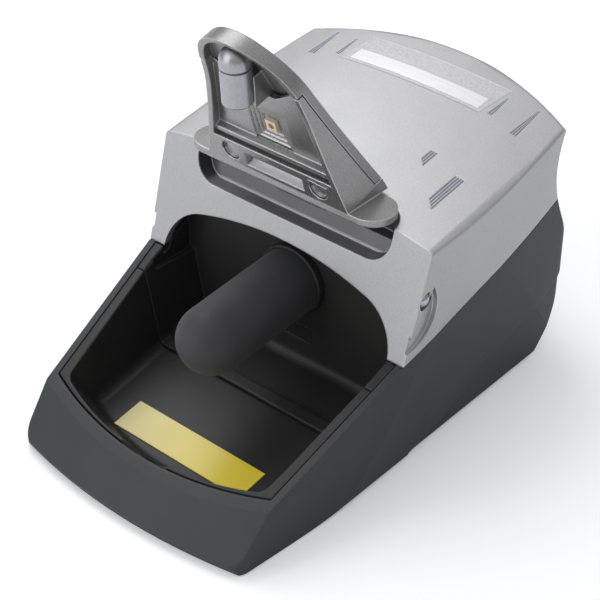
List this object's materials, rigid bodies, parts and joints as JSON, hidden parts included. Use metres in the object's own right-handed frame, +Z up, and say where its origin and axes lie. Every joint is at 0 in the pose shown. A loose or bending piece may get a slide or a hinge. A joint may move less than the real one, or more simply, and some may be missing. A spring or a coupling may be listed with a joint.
{
  "type": "diamond tester",
  "caption": "Desktop gem tester with a silver housing, a dark open tray, a padded ring post and a fold-down hood that carries a small lamp and sensor panel.",
  "frame": {"origin": "on the table under the middle of the body's outline", "axes": "+X to the right seen from the front, -Y towards the user, +Z up"},
  "size_m": [0.0784, 0.123, 0.1016],
  "materials": {
    "silver_paint": "silver paint, satin",
    "dark_silver_paint": "dark silver paint, satin",
    "black_shell": "fine grain",
    "black_foot": "fine grain",
    "black_liner": "satin",
    "post_rubber": "matte",
    "dark_plastic": "satin",
    "marker_ink": "matte",
    "foil": "brushed",
    "foil_strip": "polished",
    "label_yellow": "matte",
    "bright_steel": "polished",
    "screw_steel": "brushed",
    "brass_plate": "brushed",
    "board_green": "satin",
    "chip_black": "matte",
    "light_cream": "gloss",
    "light_amber": "gloss",
    "window_smoke": "gloss",
    "battery_wrap": "satin"
  },
  "bodies": {
    "case": {"middle_shell": "black_shell", "foot_shell": "black_foot", "top_housing": "silver_paint", "chamber_liner": "black_liner", "ring_post": "post_rubber", "post_core": "dark_plastic", "post_collar": "black_liner", "post_screw": "screw_steel", "outer_marker_left": "marker_ink", "outer_marker_right": "marker_ink", "inner_marker_left": "marker_ink", "inner_marker_right": "marker_ink", "name_panel": "foil", "name_strip": "foil_strip", "hinge_block": "dark_plastic", "hinge_pin": "bright_steel", "ball_sleeve_left": "dark_plastic", "ball_sleeve_right": "dark_plastic", "main_board": "board_green", "board_chips": "chip_black", "board_screws": "screw_steel", "buzzer": "chip_black", "sensor_board": "board_green", "sensor_window": "window_smoke", "battery": "battery_wrap", "battery_terminals": "bright_steel", "battery_contacts": "brass_plate", "battery_holder": "dark_plastic", "power_inlet": "chip_black", "inlet_pin": "bright_steel", "switch_frame": "chip_black", "case_screws": "screw_steel", "rubber_feet": "post_rubber"},
    "hood": {"hood_frame": "dark_silver_paint", "hood_cover": "silver_paint", "lamp_barrel": "bright_steel", "lamp_dome": "bright_steel", "light_base": "light_cream", "light_emitter": "light_amber", "light_board": "board_green", "hood_pins": "screw_steel"},
    "tray": {"tray_liner": "black_liner", "label_panel": "label_yellow"},
    "battery_door": {"battery_door": "black_foot"},
    "ball_left": {"side_ball_left": "bright_steel"},
    "ball_right": {"side_ball_right": "bright_steel"},
    "rocker": {"switch_rocker": "dark_plastic"}
  },
  "joints": [
    {"name": "hood_hinge", "type": "hinge", "parent": "case", "child": "hood", "pos_m": [0, 0.0015, 0.0576], "axis": [1, 0, 0], "range_deg": [0, 73.4]},
    {"name": "tray_lift", "type": "slide", "parent": "case", "child": "tray", "axis": [0, 0, 1], "range_m": [0, 0.006]},
    {"name": "battery_door_drop", "type": "slide", "parent": "case", "child": "battery_door", "axis": [0, 0, -1], "range_m": [0, 0.006]},
    {"name": "left_ball_press", "type": "slide", "parent": "case", "child": "ball_left", "axis": [1, 0, 0], "range_m": [0, 0.0008], "stiffness_N_per_m": 200, "springref_m": -0.0008},
    {"name": "right_ball_press", "type": "slide", "parent": "case", "child": "ball_right", "axis": [-1, 0, 0], "range_m": [0, 0.0008], "stiffness_N_per_m": 200, "springref_m": -0.0008},
    {"name": "rocker_tilt", "type": "hinge", "parent": "case", "child": "rocker", "pos_m": [0.012, 0.05821, 0.03396], "axis": [1, 0, 0], "range_deg": [0, 18]}
  ]
}
